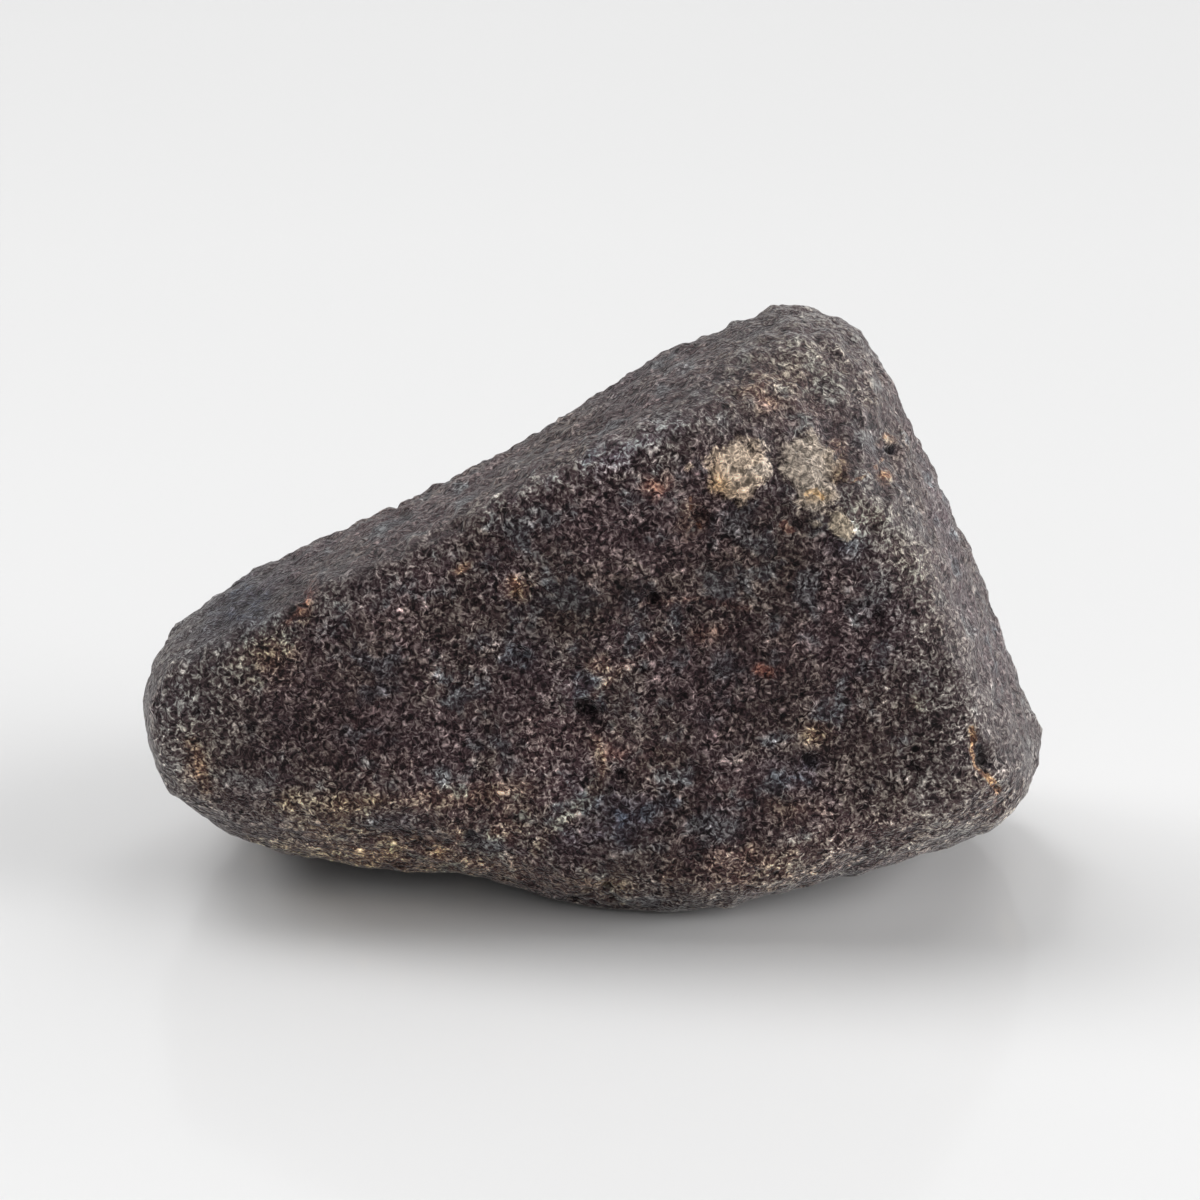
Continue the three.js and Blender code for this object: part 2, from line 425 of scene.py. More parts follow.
class Value:
    """A number in a shader. Arithmetic on it adds Math nodes to its graph."""

    def __init__(self, graph: "Graph", socket: Socket) -> None:
        """Keeps the socket and the graph that it is in."""
        self.graph = graph
        self.socket = socket

    def _math(self, operation: str, *operands: "Value | float") -> "Value":
        """Adds one Math node.

        Args:
            operation: the node's operation.
            operands: its inputs in order.

        Returns:
            The node's result.
        """
        made = self.graph.node("ShaderNodeMath", {"operation": operation}, dict(enumerate(operands)))
        return Value(self.graph, made.outputs[0])

    def __add__(self, other: "Value | float") -> "Value":
        """Returns self + other."""
        return self._math("ADD", self, other)

    def __radd__(self, other: float) -> "Value":
        """Returns other + self."""
        return self._math("ADD", other, self)

    def __sub__(self, other: "Value | float") -> "Value":
        """Returns self - other."""
        return self._math("SUBTRACT", self, other)

    def __rsub__(self, other: float) -> "Value":
        """Returns other - self."""
        return self._math("SUBTRACT", other, self)

    def __mul__(self, other: "Value | float") -> "Value":
        """Returns self * other."""
        return self._math("MULTIPLY", self, other)

    def __rmul__(self, other: float) -> "Value":
        """Returns other * self."""
        return self._math("MULTIPLY", other, self)

    def __truediv__(self, other: "Value | float") -> "Value":
        """Returns self / other."""
        return self._math("DIVIDE", self, other)

    def __rtruediv__(self, other: float) -> "Value":
        """Returns other / self."""
        return self._math("DIVIDE", other, self)

    def __abs__(self) -> "Value":
        """Returns the size of the number without its sign."""
        return self._math("ABSOLUTE", self)

    def exp(self) -> "Value":
        """Returns e to the power of the number."""
        return self._math("EXPONENT", self)

    def most(self, other: "Value | float") -> "Value":
        """Returns the larger of the two."""
        return self._math("MAXIMUM", self, other)

    def least(self, other: "Value | float") -> "Value":
        """Returns the smaller of the two."""
        return self._math("MINIMUM", self, other)

    def ease(self, low: float, high: float) -> "Value":
        """Maps low to 0 and high to 1 with soft ends.

        Args:
            low: where the result leaves 0.
            high: where the result reaches 1.

        Returns:
            The eased number.
        """
        settings = {"interpolation_type": "SMOOTHSTEP"}
        sockets = {"Value": self, "From Min": low, "From Max": high}
        return Value(self.graph, self.graph.node("ShaderNodeMapRange", settings, sockets).outputs[0])


class Graph:
    """A node tree, and the one method that makes its nodes."""

    def __init__(self, tree: bpy.types.NodeTree) -> None:
        """Starts an empty tree."""
        self.tree = tree
        tree.nodes.clear()

    def node(self, kind: str, settings: dict | None = None, sockets: dict | None = None) -> bpy.types.Node:
        """Makes any node.

        Args:
            kind: the node's type.
            settings: its properties, set first.
            sockets: a value or a link for each input, by name or by number.

        Returns:
            The node.
        """
        made = self.tree.nodes.new(kind)
        for name, value in (settings or {}).items():
            setattr(made, name, value)
        for name, value in (sockets or {}).items():
            source = value.socket if isinstance(value, Value) else value
            if isinstance(source, Socket):
                self.tree.links.new(source, made.inputs[name])
            else:
                made.inputs[name].default_value = source
        return made

    def value(self, kind: str, output: str, settings: dict | None = None,
              sockets: dict | None = None) -> Value:
        """Makes a node and returns one of its numbers.

        Args:
            kind: the node's type.
            output: the name of the output that is wanted.
            settings: its properties.
            sockets: its inputs.

        Returns:
            The output as a number for shader maths.
        """
        return Value(self, self.node(kind, settings, sockets).outputs[output])

    def attribute(self, name: str) -> Value:
        """Returns a number that the mesh keeps at its corners."""
        return self.value("ShaderNodeAttribute", "Fac", {"attribute_name": name})

    def noise(self, place: Socket, layer: Layer) -> Value:
        """Makes a noise that averages 0 and mostly stays within 0.3 either way.

        Args:
            place: the point in millimetres.
            layer: which noise.

        Returns:
            The noise.
        """
        sockets = {"Vector": place, "Scale": layer.scale, "Detail": layer.detail,
                   "Roughness": layer.rough, "Distortion": layer.twist}
        return self.value("ShaderNodeTexNoise", "Fac", None, sockets) - 0.5

    def cells(self, place: Socket, scale: float) -> tuple[Value, Value]:
        """Divides space into grains.

        Args:
            place: the point in millimetres.
            scale: grains in a millimetre.

        Returns:
            Two random numbers from -0.5 to 0.5 for each grain.
        """
        made = self.node("ShaderNodeTexVoronoi", {"feature": "F1"}, {"Vector": place, "Scale": scale})
        parts = self.node("ShaderNodeSeparateColor", None, {"Color": made.outputs["Color"]})
        return Value(self, parts.outputs[0]) - 0.5, Value(self, parts.outputs[1]) - 0.5

    def mix(self, a: Socket | Colour, b: Socket | Colour, share: Value | float) -> Socket:
        """Mixes two colours.

        Args:
            a: the colour at share 0.
            b: the colour at share 1.
            share: how much of b.

        Returns:
            The mixed colour.
        """
        made = self.node("ShaderNodeMix", {"data_type": "RGBA", "clamp_factor": True}, {"Factor": share})
        for name, value in (("A", a), ("B", b)):
            socket = [s for s in made.inputs if s.name == name and s.type == "RGBA"][0]
            if isinstance(value, Socket):
                self.tree.links.new(value, socket)
            else:
                socket.default_value = (*value, 1.0)
        return [s for s in made.outputs if s.type == "RGBA"][0]

    def vector(self, operation: str, sockets: dict, output: str = "Vector") -> Socket:
        """Makes one Vector Math node.

        Args:
            operation: what it works out.
            sockets: its inputs.
            output: "Value" where the result is a number.

        Returns:
            The result.
        """
        return self.node("ShaderNodeVectorMath", {"operation": operation}, sockets).outputs[output]

    def scale(self, vector: Socket, by: Value | float) -> Socket:
        """Returns a colour or vector times a number."""
        return self.vector("SCALE", {0: vector, "Scale": by})

    def add(self, a: Socket, b: Socket) -> Socket:
        """Returns the sum of two vectors."""
        return self.vector("ADD", {0: a, 1: b})

    def multiply(self, a: Socket, b: Socket | Colour) -> Socket:
        """Returns one colour filtered by another."""
        return self.vector("MULTIPLY", {0: a, 1: b})

    def gap(self, place: Socket, start: Vector, end: Vector) -> Value:
        """Measures how far a point is from a straight stretch.

        Args:
            place: the point in millimetres.
            start: one end of the stretch.
            end: the other end.

        Returns:
            The distance in millimetres.
        """
        along = end - start
        aside = self.vector("SUBTRACT", {0: place, 1: start})
        dot = Value(self, self.vector("DOT_PRODUCT", {0: aside, 1: along / along.length_squared}, "Value"))
        whole = self.node("ShaderNodeCombineXYZ", None, dict(enumerate(along))).outputs["Vector"]
        reached = self.scale(whole, dot.most(0.0).least(1.0))
        return Value(self, self.vector("DISTANCE", {0: aside, 1: reached}, "Value"))


# The stone's finish.


@dataclass(frozen=True)
class Weights:
    """How strongly each layer of the texture and each mark of the mesh works in one part of the finish."""

    base: float = 0.0
    fine: float = 0.0
    shade: float = 0.0
    worms: float = 0.0
    curls: float = 0.0
    crumbs: float = 0.0
    crowd: float = 0.0
    wear: float = 0.0
    rise: float = 0.0
    sunk: float = 0.0
    varnish: float = 0.0
    chips: float = 0.0


@dataclass(frozen=True)
class Texture:
    """The layers of the texture and the marks of the mesh, as numbers in one graph."""

    place: Socket
    wander: Socket
    parts: dict[str, Value]

    def blend(self, by: Weights) -> Value:
        """Returns the sum of the parts, each as strong as its weight."""
        return sum(self.parts[name] * weight for name, weight in vars(by).items() if weight)


@dataclass(frozen=True)
class Crust:
    """The stone's finish: dark matrix with tan flecks, stained grains, pale clasts, edges lighter grey from
    wear and partly from a painted sheen, painted sheen on the upward faces and painted shade in the pits.
    """

    # The layers of the texture. The wander bends the finer ones.
    base: Layer = Layer(0.35, 4.0, 0.95)
    fine: Layer = Layer(9.0, 1.0, 0.6)
    worms: Layer = Layer(5.2, 0.6, 0.5, 0.9)
    curls: Layer = Layer(4.1, 0.5, 0.4, 0.7)
    curl_width: float = 0.11
    crumbs: Layer = Layer(2.1, 0.0, 0.0, 0.8)
    crowd: Layer = Layer(0.95, 1.5, 0.6)
    cells_per_mm: float = 2.9
    wander: Layer = Layer(2.2)
    wander_mm: float = 0.30
    # What each part of the finish takes from the texture.
    flecks: Weights = Weights(fine=2.6, worms=8.4, curls=1.35)
    # Rise makes the tone lighter where the relief stands high and darker where it is low.
    tone: Weights = Weights(base=4.0, shade=0.4, crumbs=0.8, crowd=0.6, rise=0.22)
    ragged: Weights = Weights(base=2.0, fine=0.8, shade=0.3, worms=0.2)
    frays: Weights = Weights(fine=1.0, worms=0.6)
    gloss: Weights = Weights(fine=0.5, worms=-0.5, wear=-0.10, sunk=0.2, chips=0.1)
    coating: Weights = Weights(worms=0.8, wear=0.2, varnish=1.0)
    height: Weights = Weights(base=1.5, fine=1.2, shade=0.35, worms=1.8, curls=0.2, crumbs=1.9)
    # The tone: how light each point is, as a natural logarithm, and what calms it. The calm on the upward
    # faces is a painted sheen that washes out their contrast.
    crowding: float = 1.1
    tone_level: float = -0.70
    varnish_calm: float = 0.22
    bright_slope: float = 0.62
    bright_level: float = 0.32
    chip_calm: float = 0.5
    # The colours, as linear light, and where each begins and ends.
    plum: Colour = (0.112, 0.066, 0.075)
    umber: Colour = (0.113, 0.071, 0.072)
    umber_zones: Layer = Layer(0.3)
    umber_span: Span = (-0.12, 0.14)
    umber_stray: float = 0.2
    slate: Colour = (0.090, 0.070, 0.084)
    slate_zones: Layer = Layer(0.7)
    slate_span: Span = (0.02, 0.18)
    slate_stray: float = 0.1
    # The edges are lighter grey where they show wear: partly real wear, partly a painted sheen.
    worn: Colour = (0.150, 0.108, 0.112)
    worn_span: Span = (0.1, 0.9)
    worn_fray: float = 0.4
    worn_share: float = 0.7
    deep_hue: Colour = (1.06, 0.97, 0.99)
    fleck_hue: Colour = (0.81, 1.04, 0.90)
    hue_span: Span = (-0.9, 0.7)
    stain_share: float = 0.85
    chip_span: Span = (0.26, 0.78)
    chip_fray: float = 0.45
    pit_span: Span = (0.2, 0.8)
    pit_fray: float = 0.3
    pit_shade: float = 0.6
    # The fine marks: how far they are bent, and how their edges fray and fade, in half widths.
    fray_mm: float = 0.25
    stroke_fray: float = 1.6
    stroke_reach: float = 1.25
    stroke_fade: float = 0.5
    # The surface.
    roughness: float = 0.62
    specular: float = 0.18
    sheen: float = 0.50
    sheen_roughness: float = 0.3
    coat: float = 0.30
    coat_roughness: float = 0.5
    bump_mm: float = 0.05
    varnish_bump: float = 0.6

    def material(self, strokes: Sequence[Stroke]) -> bpy.types.Material:
        """Makes the material.

        Args:
            strokes: the fine marks that it draws.

        Returns:
            The material, which reads the mesh's attributes.
        """
        made = bpy.data.materials.new("stone_crust")
        made.use_nodes = True
        g = Graph(made.node_tree)
        texture = self._texture(g)
        chips, varnish = texture.parts["chips"], texture.parts["varnish"]
        coat = texture.blend(self.coating) * self.coat * (1 - chips * self.chip_calm)
        height = texture.blend(self.height) * (1 + varnish * self.varnish_bump)
        bump = g.node("ShaderNodeBump", None,
                      {"Strength": 1.0, "Distance": self.bump_mm * MM, "Height": height})
        shader = g.node("ShaderNodeBsdfPrincipled", None,
                        {"Base Color": self._colour(g, texture, strokes),
                         "Roughness": texture.blend(self.gloss) + self.roughness,
                         "Normal": bump.outputs["Normal"],
                         "Specular IOR Level": self.specular,
                         "Sheen Weight": self.sheen, "Sheen Roughness": self.sheen_roughness,
                         "Coat Weight": coat, "Coat Roughness": self.coat_roughness})
        g.node("ShaderNodeOutputMaterial", None, {"Surface": shader.outputs["BSDF"]})
        return made

    def _texture(self, g: Graph) -> Texture:
        """Makes the layers of the texture and fetches the marks that the mesh keeps.

        Args:
            g: the material's graph.

        Returns:
            The texture.
        """
        place = g.scale(g.node("ShaderNodeTexCoord").outputs["Object"], 1 / MM)
        sockets = {"Vector": place, "Scale": self.wander.scale, "Detail": self.wander.detail}
        wander = g.node("ShaderNodeTexNoise", None, sockets).outputs["Color"]
        bent = g.add(place, g.scale(wander, self.wander_mm))
        shade, hue = g.cells(bent, self.cells_per_mm)
        parts = {"base": g.noise(place, self.base), "fine": g.noise(bent, self.fine), "shade": shade,
                 "hue": hue, "worms": g.noise(bent, self.worms), "crumbs": g.noise(bent, self.crumbs),
                 "curls": 1 - abs(g.noise(bent, self.curls)).ease(0.0, self.curl_width),
                 "crowd": g.noise(place, self.crowd)}
        parts |= {name: g.attribute(name) for name in ("wear", "sunk", "rise", "varnish")}
        texture = Texture(place, wander, parts)
        pale = g.value("ShaderNodeAttribute", "Alpha", {"attribute_name": "clast"})
        parts["chips"] = (pale + texture.blend(self.ragged) * self.chip_fray).ease(*self.chip_span)
        return texture

    def _tone(self, texture: Texture) -> Value:
        """Works out how light each point is.

        Args:
            texture: the layers and marks.

        Returns:
            The natural logarithm of the point's light.
        """
        flecks = texture.blend(self.flecks) * (1 + texture.parts["crowd"] * self.crowding)
        tone = flecks + texture.blend(self.tone) + self.tone_level
        # Painted sheen: the upward faces are calmed towards an even tone.
        tone = tone * (1 - texture.parts["varnish"] * self.varnish_calm)
        return tone.least(tone * self.bright_slope + self.bright_level)

    def _colour(self, g: Graph, texture: Texture, strokes: Sequence[Stroke]) -> Socket:
        """Colours the ground, and over it the stains, the painted sheen, bounce light and shade, the clasts
        and the fine marks.

        Args:
            g: the material's graph.
            texture: the layers and marks.
            strokes: the fine marks.

        Returns:
            The colour of the skin.
        """
        parts, place, tone = texture.parts, texture.place, self._tone(texture)
        ragged = texture.blend(self.ragged)
        umber = g.noise(place, self.umber_zones) + parts["hue"] * self.umber_stray
        slate = g.noise(place, self.slate_zones) + parts["hue"] * self.slate_stray
        # Lighter grey on the edges: partly wear, partly a painted sheen.
        worn = (parts["wear"] + ragged * self.worn_fray).ease(*self.worn_span) * self.worn_share
        ground = g.mix(self.plum, self.umber, umber.ease(*self.umber_span))
        ground = g.mix(ground, self.slate, slate.ease(*self.slate_span))
        ground = g.mix(ground, self.worn, worn)
        # The tint holds the stains and also painted light: sheen on the top ridge and right rim, bounce light
        # low on the front, and shade in the pits and under the first clast.
        tint = g.node("ShaderNodeAttribute", {"attribute_name": "tint"}).outputs["Color"]
        stain = g.mix((1.0, 1.0, 1.0), tint, ragged + self.stain_share)
        flecked = g.mix(self.deep_hue, self.fleck_hue, tone.ease(*self.hue_span))
        grain = g.node("ShaderNodeAttribute", {"attribute_name": "clast"}).outputs["Color"]
        skin = g.mix(g.multiply(g.multiply(ground, stain), flecked), grain, parts["chips"])
        frayed = g.add(place, g.scale(texture.wander, self.fray_mm))
        uneven = texture.blend(self.frays)
        for stroke in strokes:
            skin = self._draw(g, skin, frayed, stroke, uneven)
        # Painted shade darkens the floors of the pits.
        shaded = 1 - (parts["sunk"] + ragged * self.pit_fray).ease(*self.pit_span) * self.pit_shade
        return g.scale(skin, (tone * (1 - parts["chips"] * self.chip_calm)).exp() * shaded)

    def _draw(self, g: Graph, skin: Socket, place: Socket, stroke: Stroke, uneven: Value) -> Socket:
        """Draws one fine mark on the skin.

        Args:
            g: the material's graph.
            skin: the colour so far.
            place: the point in millimetres, a little bent.
            stroke: the mark.
            uneven: noise that frays its edge.

        Returns:
            The colour with the mark.
        """
        mean_bend = Vector((0.5, 0.5, 0.5)) * self.fray_mm
        ends = [point + mean_bend for point in stroke.points]
        away = g.gap(place, ends[0], ends[1])
        for start, end in zip(ends[1:], ends[2:]):
            away = away.least(g.gap(place, start, end))
        edge = away / stroke.radius + uneven * self.stroke_fray
        share = (self.stroke_reach - edge).ease(0.0, self.stroke_fade) * stroke.strength
        return g.mix(skin, g.multiply(skin, stroke.stain.value), share)


# The stone.


@dataclass
class Stone:
    """The meteorite: its fine mesh, its relief, its marks and its finish."""

    view: Viewpoint
    # How closely the solid's corners are joined, how often it is divided, and the size and the height of
    # its low lumps.
    join_mm: float = 0.0001
    divisions: int = 2
    lumps: tuple[tuple[float, float], ...] = ((3.2, 0.12), (1.5, 0.13), (0.75, 0.09), (0.38, 0.05))
    small_lump_mm: float = 1.0
    top_gain: float = 1.2
    # The skin that faces up has a varnish, and its small lumps stand higher. Its coat is glossier, and its
    # tone is calmed as a painted sheen.
    varnish_side: tuple[float, float, float] = (0.3, 0.2, 0.93)
    varnish_from: float = 0.1
    varnish_over: float = 0.4
    # The wear of the edges, which makes them glossier and lighter grey; the lighter grey is partly a painted
    # sheen.
    wear_passes: int = 10
    wear_percentile: float = 97
    # The edges of the marks, as parts of their half width.
    mark_reach_mm: float = 6.0
    ragged_edge: tuple[tuple[float, float], ...] = ((0.9, 0.55), (0.45, 0.35))
    patch_edge: float = 1.25
    vein_edge: float = 1.4
    clast_edge: float = 1.5
    clast_margin: float = 0.1
    groove_at: float = 1.1
    groove_width: float = 0.18
    pit_edge: float = 1.3
    pit_wall: float = 0.9
    pit_floor_edge: float = 1.4
    pit_floor_share: float = 0.8
    # What is scattered by a fixed seed.
    scatter_reach: float = 1.6
    scattered_pits: int = 260
    pit_rim: float = 1.2
    pit_dark: float = 0.7
    pit_radius_mm: Span = (0.16, 0.34)
    pit_depth_mm: Span = (0.04, 0.12)
    scattered_spots: int = 150
    wide_spot_mm: Span = (1.0, 2.6)
    small_spot_mm: Span = (0.2, 0.55)
    spot_strength: Span = (0.4, 1.0)
    scattered_clasts: int = 16
    clast_radius_mm: Span = (0.3, 0.9)
    clast_groove_mm: float = 0.08
    clast_groove_width: float = 0.2
    # How the skin is kept flat where it rests, and how far it may stand out of the solid's box.
    rest_mm: float = 0.01
    rest_fade_mm: float = 0.5
    stand_out_mm: float = 0.15

    def build(self) -> bpy.types.Object:
        """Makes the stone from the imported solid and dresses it.

        Returns:
            The finished piece.
        """
        piece = self._fine_piece()
        mesh = piece.data
        self.points = self._read(mesh.vertices, "co")
        self.normals = self._read(mesh.vertices, "normal")
        count = len(self.points)
        self.tint = np.ones((count, 4))
        self.clast = np.ones((count, 4)) * (1, 1, 1, 0)
        self.sunk = np.zeros(count)
        self.raise_mm = np.zeros(count)
        self.pixels = self.view.project(self.points)
        away = self.points - np.array(self.view.eye())
        self.faced = (away * self.normals).sum(axis=1) < 0
        self.tree = BVHTree.FromPolygons([Vector(p) for p in self.points],
                                         [tuple(f.vertices) for f in mesh.polygons])
        self._roughen()
        self.ragged = sum(share * self._field(size_mm) for size_mm, share in self.ragged_edge)
        self._mark_front()
        self._scatter()
        self._lift(mesh)
        self._store(mesh)
        mesh.materials.clear()
        mesh.materials.append(Crust().material(self._strokes()))
        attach(piece, BODY)
        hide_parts(NODE)
        log.info("stone: %d faces, %d corners", len(mesh.polygons), count)
        return piece

    def _read(self, data: bpy.types.bpy_prop_collection, name: str) -> np.ndarray:
        """Reads a vector of every element.

        Args:
            data: the elements.
            name: the vector's name.

        Returns:
            One row of three numbers for each element.
        """
        flat = np.empty(len(data) * 3)
        data.foreach_get(name, flat)
        return flat.reshape(-1, 3)

    def _fine_piece(self) -> bpy.types.Object:
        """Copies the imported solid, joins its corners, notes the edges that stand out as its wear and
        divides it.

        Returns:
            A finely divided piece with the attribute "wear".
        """
        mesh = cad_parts[NODE].data.copy()
        work = bmesh.new()
        work.from_mesh(mesh)
        bmesh.ops.remove_doubles(work, verts=work.verts, dist=self.join_mm * MM)
        work.to_mesh(mesh)
        work.free()
        for name in ("custom_normal", "sharp_face", "sharp_edge"):
            if name in mesh.attributes:
                mesh.attributes.remove(mesh.attributes[name])
        wear = mesh.attributes.new("wear", "FLOAT", "POINT")
        wear.data.foreach_set("value", self._convexity(mesh))
        piece = bpy.data.objects.new("stone", mesh)
        bpy.context.scene.collection.objects.link(piece)
        finer = piece.modifiers.new("divide", "SUBSURF")
        finer.levels = finer.render_levels = self.divisions
        finer.boundary_smooth = "ALL"
        graph = bpy.context.evaluated_depsgraph_get()
        fine = bpy.data.meshes.new_from_object(piece.evaluated_get(graph))
        piece.modifiers.clear()
        piece.data = fine
        fine.name = "stone"
        fine.shade_smooth()
        return piece

    def _convexity(self, mesh: bpy.types.Mesh) -> np.ndarray:
        """Finds where the solid stands out from its own smoothed form.

        Args:
            mesh: the joined solid.

        Returns:
            0 on flat or hollow skin and up to 1 on the sharpest edges.
        """
        points = self._read(mesh.vertices, "co")
        normals = self._read(mesh.vertices, "normal")
        edges = np.empty(len(mesh.edges) * 2, np.int64)
        mesh.edges.foreach_get("vertices", edges)
        a, b = edges.reshape(-1, 2).T
        degree = np.bincount(a, minlength=len(points)) + np.bincount(b, minlength=len(points))
        smooth = points.copy()
        for _ in range(self.wear_passes):
            total = np.zeros_like(smooth)
            for axis in range(3):
                total[:, axis] = (np.bincount(a, smooth[b, axis], len(points))
                                  + np.bincount(b, smooth[a, axis], len(points)))
            smooth = total / degree[:, None]
        stands = ((points - smooth) * normals).sum(axis=1)
        return np.clip(stands / np.percentile(stands, self.wear_percentile), 0, 1)

    def _field(self, size_mm: float) -> np.ndarray:
        """Samples smooth noise at every corner.

        Args:
            size_mm: the size of its lumps.

        Returns:
            The noise, mostly within 0.5 of 0.
        """
        aside = Vector((size_mm * 7, 3, 5))
        return np.array([noise.noise(Vector(p) + aside) for p in self.points / (size_mm * MM)])

    def _roughen(self) -> None:
        """Adds the low lumps that cover the whole skin, the small ones stronger on its upward faces."""
        faces_up = self.normals @ np.array(self.varnish_side)
        self.varnish = np.clip((faces_up - self.varnish_from) / self.varnish_over, 0, 1)
        for size_mm, height_mm in self.lumps:
            gain = 1 + self.top_gain * self.varnish * (size_mm < self.small_lump_mm)
            self.raise_mm += height_mm * gain * self._field(size_mm)
        self.rise = self.raise_mm / self.raise_mm.std()

    def _near(self, pixel: Pixel) -> np.ndarray:
        """Finds the skin that a pixel can mark.

        Args:
            pixel: a place in the picture.

        Returns:
            True for each corner that the camera sees within reach of where the pixel's ray lands.
        """
        hit = self.tree.ray_cast(self.view.eye(), self.view.ray(pixel))[0]
        if hit is None:
            log.warning("pixel %s misses the stone", pixel)
            return np.zeros(len(self.points), bool)
        gap = np.linalg.norm(self.points - np.array(hit), axis=1)
        return self.faced & (gap < self.mark_reach_mm * MM)

    def _oval(self, at: Pixel, size: Pixel, turn_deg: float) -> np.ndarray:
        """Measures an oval in the picture.

        Args:
            at: its middle.
            size: its full width and height.
            turn_deg: how far it is turned, anticlockwise in the picture.

        Returns:
            For each corner, the distance from the middle, 1 at the oval's edge, or far off out of reach.
        """
        turn = math.radians(turn_deg)
        across = self.pixels[:, 0] - at[0]
        down = self.pixels[:, 1] - at[1]
        u = (across * math.cos(turn) - down * math.sin(turn)) / (size[0] / 2)
        v = (across * math.sin(turn) + down * math.cos(turn)) / (size[1] / 2)
        away = np.hypot(u, v) * (1 + self.ragged)
        return np.where(self._near(at), away, OUT_OF_REACH)

    def _tint(self, stain: StainAndLight, share: np.ndarray) -> None:
        """Lays a mark's colour over what is there; the marks are stains, and some paint sheen, bounce light
        and shade.

        Args:
            stain: the finish.
            share: how much of it at each corner, from 0 to 1.
        """
        self.tint[:, :3] *= 1 + share[:, None] * (np.array(stain.value) - 1)

    def _lay_patch(self, patch: Patch) -> None:
        """Lays one soft mark."""
        self._tint(patch.stain, self._patch_share(patch))

    def _patch_share(self, patch: Patch) -> np.ndarray:
        """Returns how much of a soft mark there is at each corner."""
        away = self._oval(patch.at, patch.size, patch.turn_deg)
        return np.clip(self.patch_edge - away, 0, 1) * patch.strength

    def _lay_vein(self, vein: Vein) -> None:
        """Lays one line, as the nearest of its straight stretches.

        Args:
            vein: the line.
        """
        away = np.full(len(self.points), OUT_OF_REACH)
        for start, end in zip(vein.path, vein.path[1:]):
            a, along = np.array(start), np.array(end) - np.array(start)
            t = np.clip(((self.pixels - a) @ along) / (along @ along), 0, 1)
            gap = np.linalg.norm(self.pixels - a - t[:, None] * along, axis=1)
            middle = ((start[0] + end[0]) / 2, (start[1] + end[1]) / 2)
            away = np.where(self._near(middle), np.minimum(away, gap / (vein.width / 2)), away)
        self._tint(vein.stain, np.clip(self.vein_edge - away, 0, 1) * vein.strength)
        self.raise_mm -= vein.depth_mm * np.exp(-away**2)

    def _lay_clast(self, clast: Clast) -> None:
        """Sets one pale grain.

        Args:
            clast: the grain.
        """
        away = self._oval(clast.at, clast.size, clast.turn_deg)
        self.clast[away < self.clast_edge + self.clast_margin, :3] = clast.grain.value
        self.clast[:, 3] = np.maximum(self.clast[:, 3], np.clip(self.clast_edge - away, 0, 1))
        groove = np.exp(-((away - self.groove_at) / self.groove_width) ** 2)
        dome = np.sqrt(np.clip(1 - away**2, 0, 1))
        self.raise_mm += clast.lift_mm * dome - clast.groove_mm * groove

    def _lay_pit(self, pit: Pit) -> None:
        """Sinks one pit and paints shade on its floor.

        Args:
            pit: the pit.
        """
        away = self._oval(pit.at, pit.size, pit.turn_deg)
        self.sunk = np.maximum(self.sunk, np.clip(self.pit_edge - away, 0, 1))
        self._tint(pit.floor, np.clip(self.pit_floor_edge - away, 0, 1) * self.pit_floor_share)
        self.raise_mm -= pit.depth_mm * np.exp(-(away / self.pit_wall) ** 4)

    def _lay_rim(self, patch: Patch) -> None:
        """Tints part of a clast with a mark's colour; at some edges this is painted shade.

        Args:
            patch: the stain.
        """
        share = self._patch_share(patch)
        self.clast[:, :3] *= 1 + share[:, None] * (np.array(patch.stain.value) / max(patch.stain.value) - 1)
        self._tint(patch.stain, share)

    def _mark_front(self) -> None:
        """Lays every mark that the photograph shows."""
        for patch in FRONT_PATCHES:
            self._lay_patch(patch)
        for vein in FRONT_VEINS:
            self._lay_vein(vein)
        for clast in FRONT_CLASTS:
            self._lay_clast(clast)
        for patch in FRONT_RIMS:
            self._lay_rim(patch)
        for pit in FRONT_PITS:
            self._lay_pit(pit)

    def _strokes(self) -> list[Stroke]:
        """Finds where on the stone the fine marks lie.

        Returns:
            The marks, with their points in millimetres.
        """
        strokes = []
        for thread in FRONT_THREADS:
            hits = [self.tree.ray_cast(self.view.eye(), self.view.ray(pixel))[0] for pixel in thread.path]
            points = tuple(hit / MM for hit in hits if hit is not None)
            if len(points) > 1:
                radius = thread.width / self.view.px_per_mm / 2
                strokes.append(Stroke(thread.stain, points, radius, thread.strength))
        return strokes

    def _scatter(self) -> None:
        """Spreads small pits everywhere, and stains and clasts where the photograph does not look."""
        draw = np.random.default_rng(SEED)
        near = kdtree.KDTree(len(self.points))
        for i, p in enumerate(self.points):
            near.insert(p, i)
        near.balance()
        self._scatter_pits(draw, near)
        self._scatter_stains(draw, near)
        self._scatter_clasts(draw, near)

    def _scatter_pits(self, draw: np.random.Generator, near: kdtree.KDTree) -> None:
        """Sinks small pits and marks their floors for painted shade.

        Args:
            draw: the random numbers.
            near: finds the corners near a place.
        """
        for i in draw.integers(0, len(self.points), self.scattered_pits):
            radius, depth = draw.uniform(*self.pit_radius_mm), draw.uniform(*self.pit_depth_mm)
            for _, j, gap in near.find_range(self.points[i], radius * MM * self.scatter_reach):
                away = gap / (radius * MM)
                self.raise_mm[j] -= depth * math.exp(-away**4)
                self.sunk[j] = max(self.sunk[j], self.pit_dark * (self.pit_rim - away))

